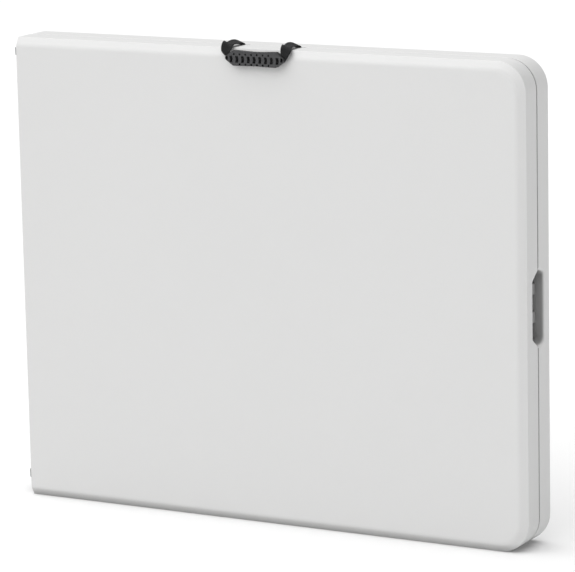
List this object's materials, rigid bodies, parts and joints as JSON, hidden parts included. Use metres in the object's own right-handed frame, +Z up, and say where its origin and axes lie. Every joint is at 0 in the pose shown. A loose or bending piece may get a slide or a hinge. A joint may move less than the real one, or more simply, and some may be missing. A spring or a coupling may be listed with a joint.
{
  "type": "folding table",
  "caption": "Fold-in-half banquet table with moulded top halves, folding tube legs, prop struts and a strap carry handle, shown closed on its long edge.",
  "frame": {"origin": "centre of the closed table's box, on the surface that its long edge stands on", "axes": "+X from the centre hinge towards the free ends with their finger recess, +Y from the front half to the back half, +Z up"},
  "size_m": [0.9269, 0.106, 0.7703],
  "materials": {
    "moulded_top": "blow-moulded polyethylene, near white, fine grain",
    "powder_coat": "grey powder coat on steel tube and channel",
    "zinc_steel": "zinc plated screws, pins and rivets",
    "spring_steel": "dark spring steel",
    "black_plastic": "moulded plastic bushes, caps and clips",
    "grip_plastic": "dark grey moulded grip",
    "webbing": "black woven polypropylene webbing"
  },
  "bodies": {
    "front_half": {"front_panel": "moulded_top", "front_rail_lower": "powder_coat", "front_rail_upper": "powder_coat", "front_rail_screws": "zinc_steel", "front_hinge_rivets": "zinc_steel", "front_pivot_spacers": "black_plastic", "front_strut_saddle": "zinc_steel", "front_saddle_screws": "zinc_steel", "front_leg_clips": "black_plastic", "front_clip_screws": "zinc_steel", "front_hinge_forks": "powder_coat", "front_hinge_pins": "zinc_steel", "front_hinge_washers": "black_plastic", "front_strap_roots": "webbing", "front_strap_anchor_plates": "zinc_steel", "front_strap_anchor_rivets": "zinc_steel"},
    "front_leg_frame": {"front_pivot_bar": "powder_coat", "front_outer_leg_lower": "powder_coat", "front_outer_leg_upper": "powder_coat", "front_leg_bushes": "black_plastic", "front_cross_bar": "powder_coat"},
    "front_feet": {"front_inner_leg_lower": "powder_coat", "front_inner_leg_upper": "powder_coat", "front_foot_caps": "black_plastic", "front_button_springs": "spring_steel"},
    "front_button_lower": {"front_button_lower": "zinc_steel"},
    "front_button_upper": {"front_button_upper": "zinc_steel"},
    "front_strut": {"front_strut_arm": "powder_coat", "front_strut_sleeve": "powder_coat"},
    "back_half": {"back_panel": "moulded_top", "back_rail_lower": "powder_coat", "back_rail_upper": "powder_coat", "back_rail_screws": "zinc_steel", "back_hinge_rivets": "zinc_steel", "back_pivot_spacers": "black_plastic", "back_strut_saddle": "zinc_steel", "back_saddle_screws": "zinc_steel", "back_leg_clips": "black_plastic", "back_clip_screws": "zinc_steel", "back_hinge_tongues": "powder_coat"},
    "back_leg_frame": {"back_pivot_bar": "powder_coat", "back_outer_leg_lower": "powder_coat", "back_outer_leg_upper": "powder_coat", "back_leg_bushes": "black_plastic", "back_cross_bar": "powder_coat"},
    "back_feet": {"back_inner_leg_lower": "powder_coat", "back_inner_leg_upper": "powder_coat", "back_foot_caps": "black_plastic", "back_button_springs": "spring_steel"},
    "back_button_lower": {"back_button_lower": "zinc_steel"},
    "back_button_upper": {"back_button_upper": "zinc_steel"},
    "back_strut": {"back_strut_arm": "powder_coat", "back_strut_sleeve": "powder_coat"},
    "handle": {"strap_left": "webbing", "strap_right": "webbing", "carry_grip": "grip_plastic"}
  },
  "joints": [
    {"name": "fold", "type": "hinge", "parent": "front_half", "child": "back_half", "pos_m": [-0.4365, 0.006, 0.38], "axis": [0, 0, 1], "range_deg": [0, 180]},
    {"name": "front_leg_swing", "type": "hinge", "parent": "front_half", "child": "front_leg_frame", "pos_m": [0.3535, -0.00825, 0.38], "axis": [0, 0, -1], "range_deg": [0, 90]},
    {"name": "front_strut_swing", "type": "hinge", "parent": "front_leg_frame", "child": "front_strut", "pos_m": [0.0535, -0.00825, 0.38], "axis": [0, 0, 1], "range_deg": [0, 142.7]},
    {"name": "front_height_slide", "type": "slide", "parent": "front_leg_frame", "child": "front_feet", "axis": [-1, 0, 0], "range_m": [0, 0.205]},
    {"name": "front_button_lower_press", "type": "slide", "parent": "front_feet", "child": "front_button_lower", "axis": [0, 1, 0], "range_m": [0, 0.0035]},
    {"name": "front_button_upper_press", "type": "slide", "parent": "front_feet", "child": "front_button_upper", "axis": [0, 1, 0], "range_m": [0, 0.0035]},
    {"name": "back_leg_swing", "type": "hinge", "parent": "back_half", "child": "back_leg_frame", "pos_m": [0.3535, 0.02025, 0.38], "axis": [0, 0, 1], "range_deg": [0, 90]},
    {"name": "back_strut_swing", "type": "hinge", "parent": "back_leg_frame", "child": "back_strut", "pos_m": [0.0535, 0.02025, 0.38], "axis": [0, 0, -1], "range_deg": [0, 142.7]},
    {"name": "back_height_slide", "type": "slide", "parent": "back_leg_frame", "child": "back_feet", "axis": [-1, 0, 0], "range_m": [0, 0.205]},
    {"name": "back_button_lower_press", "type": "slide", "parent": "back_feet", "child": "back_button_lower", "axis": [0, -1, 0], "range_m": [0, 0.0035]},
    {"name": "back_button_upper_press", "type": "slide", "parent": "back_feet", "child": "back_button_upper", "axis": [0, -1, 0], "range_m": [0, 0.0035]},
    {"name": "handle_swing", "type": "hinge", "parent": "front_half", "child": "handle", "pos_m": [0.0105, 0.0045, 0.761], "axis": [-1, 0, 0], "range_deg": [0, 105]}
  ],
  "couplings": [
    {"joint": "front_leg_swing", "follows": "fold", "ratio": 0.5},
    {"joint": "front_strut_swing", "follows": "fold", "ratio": 0.79239},
    {"joint": "back_leg_swing", "follows": "fold", "ratio": 0.5},
    {"joint": "back_strut_swing", "follows": "fold", "ratio": 0.79239}
  ]
}
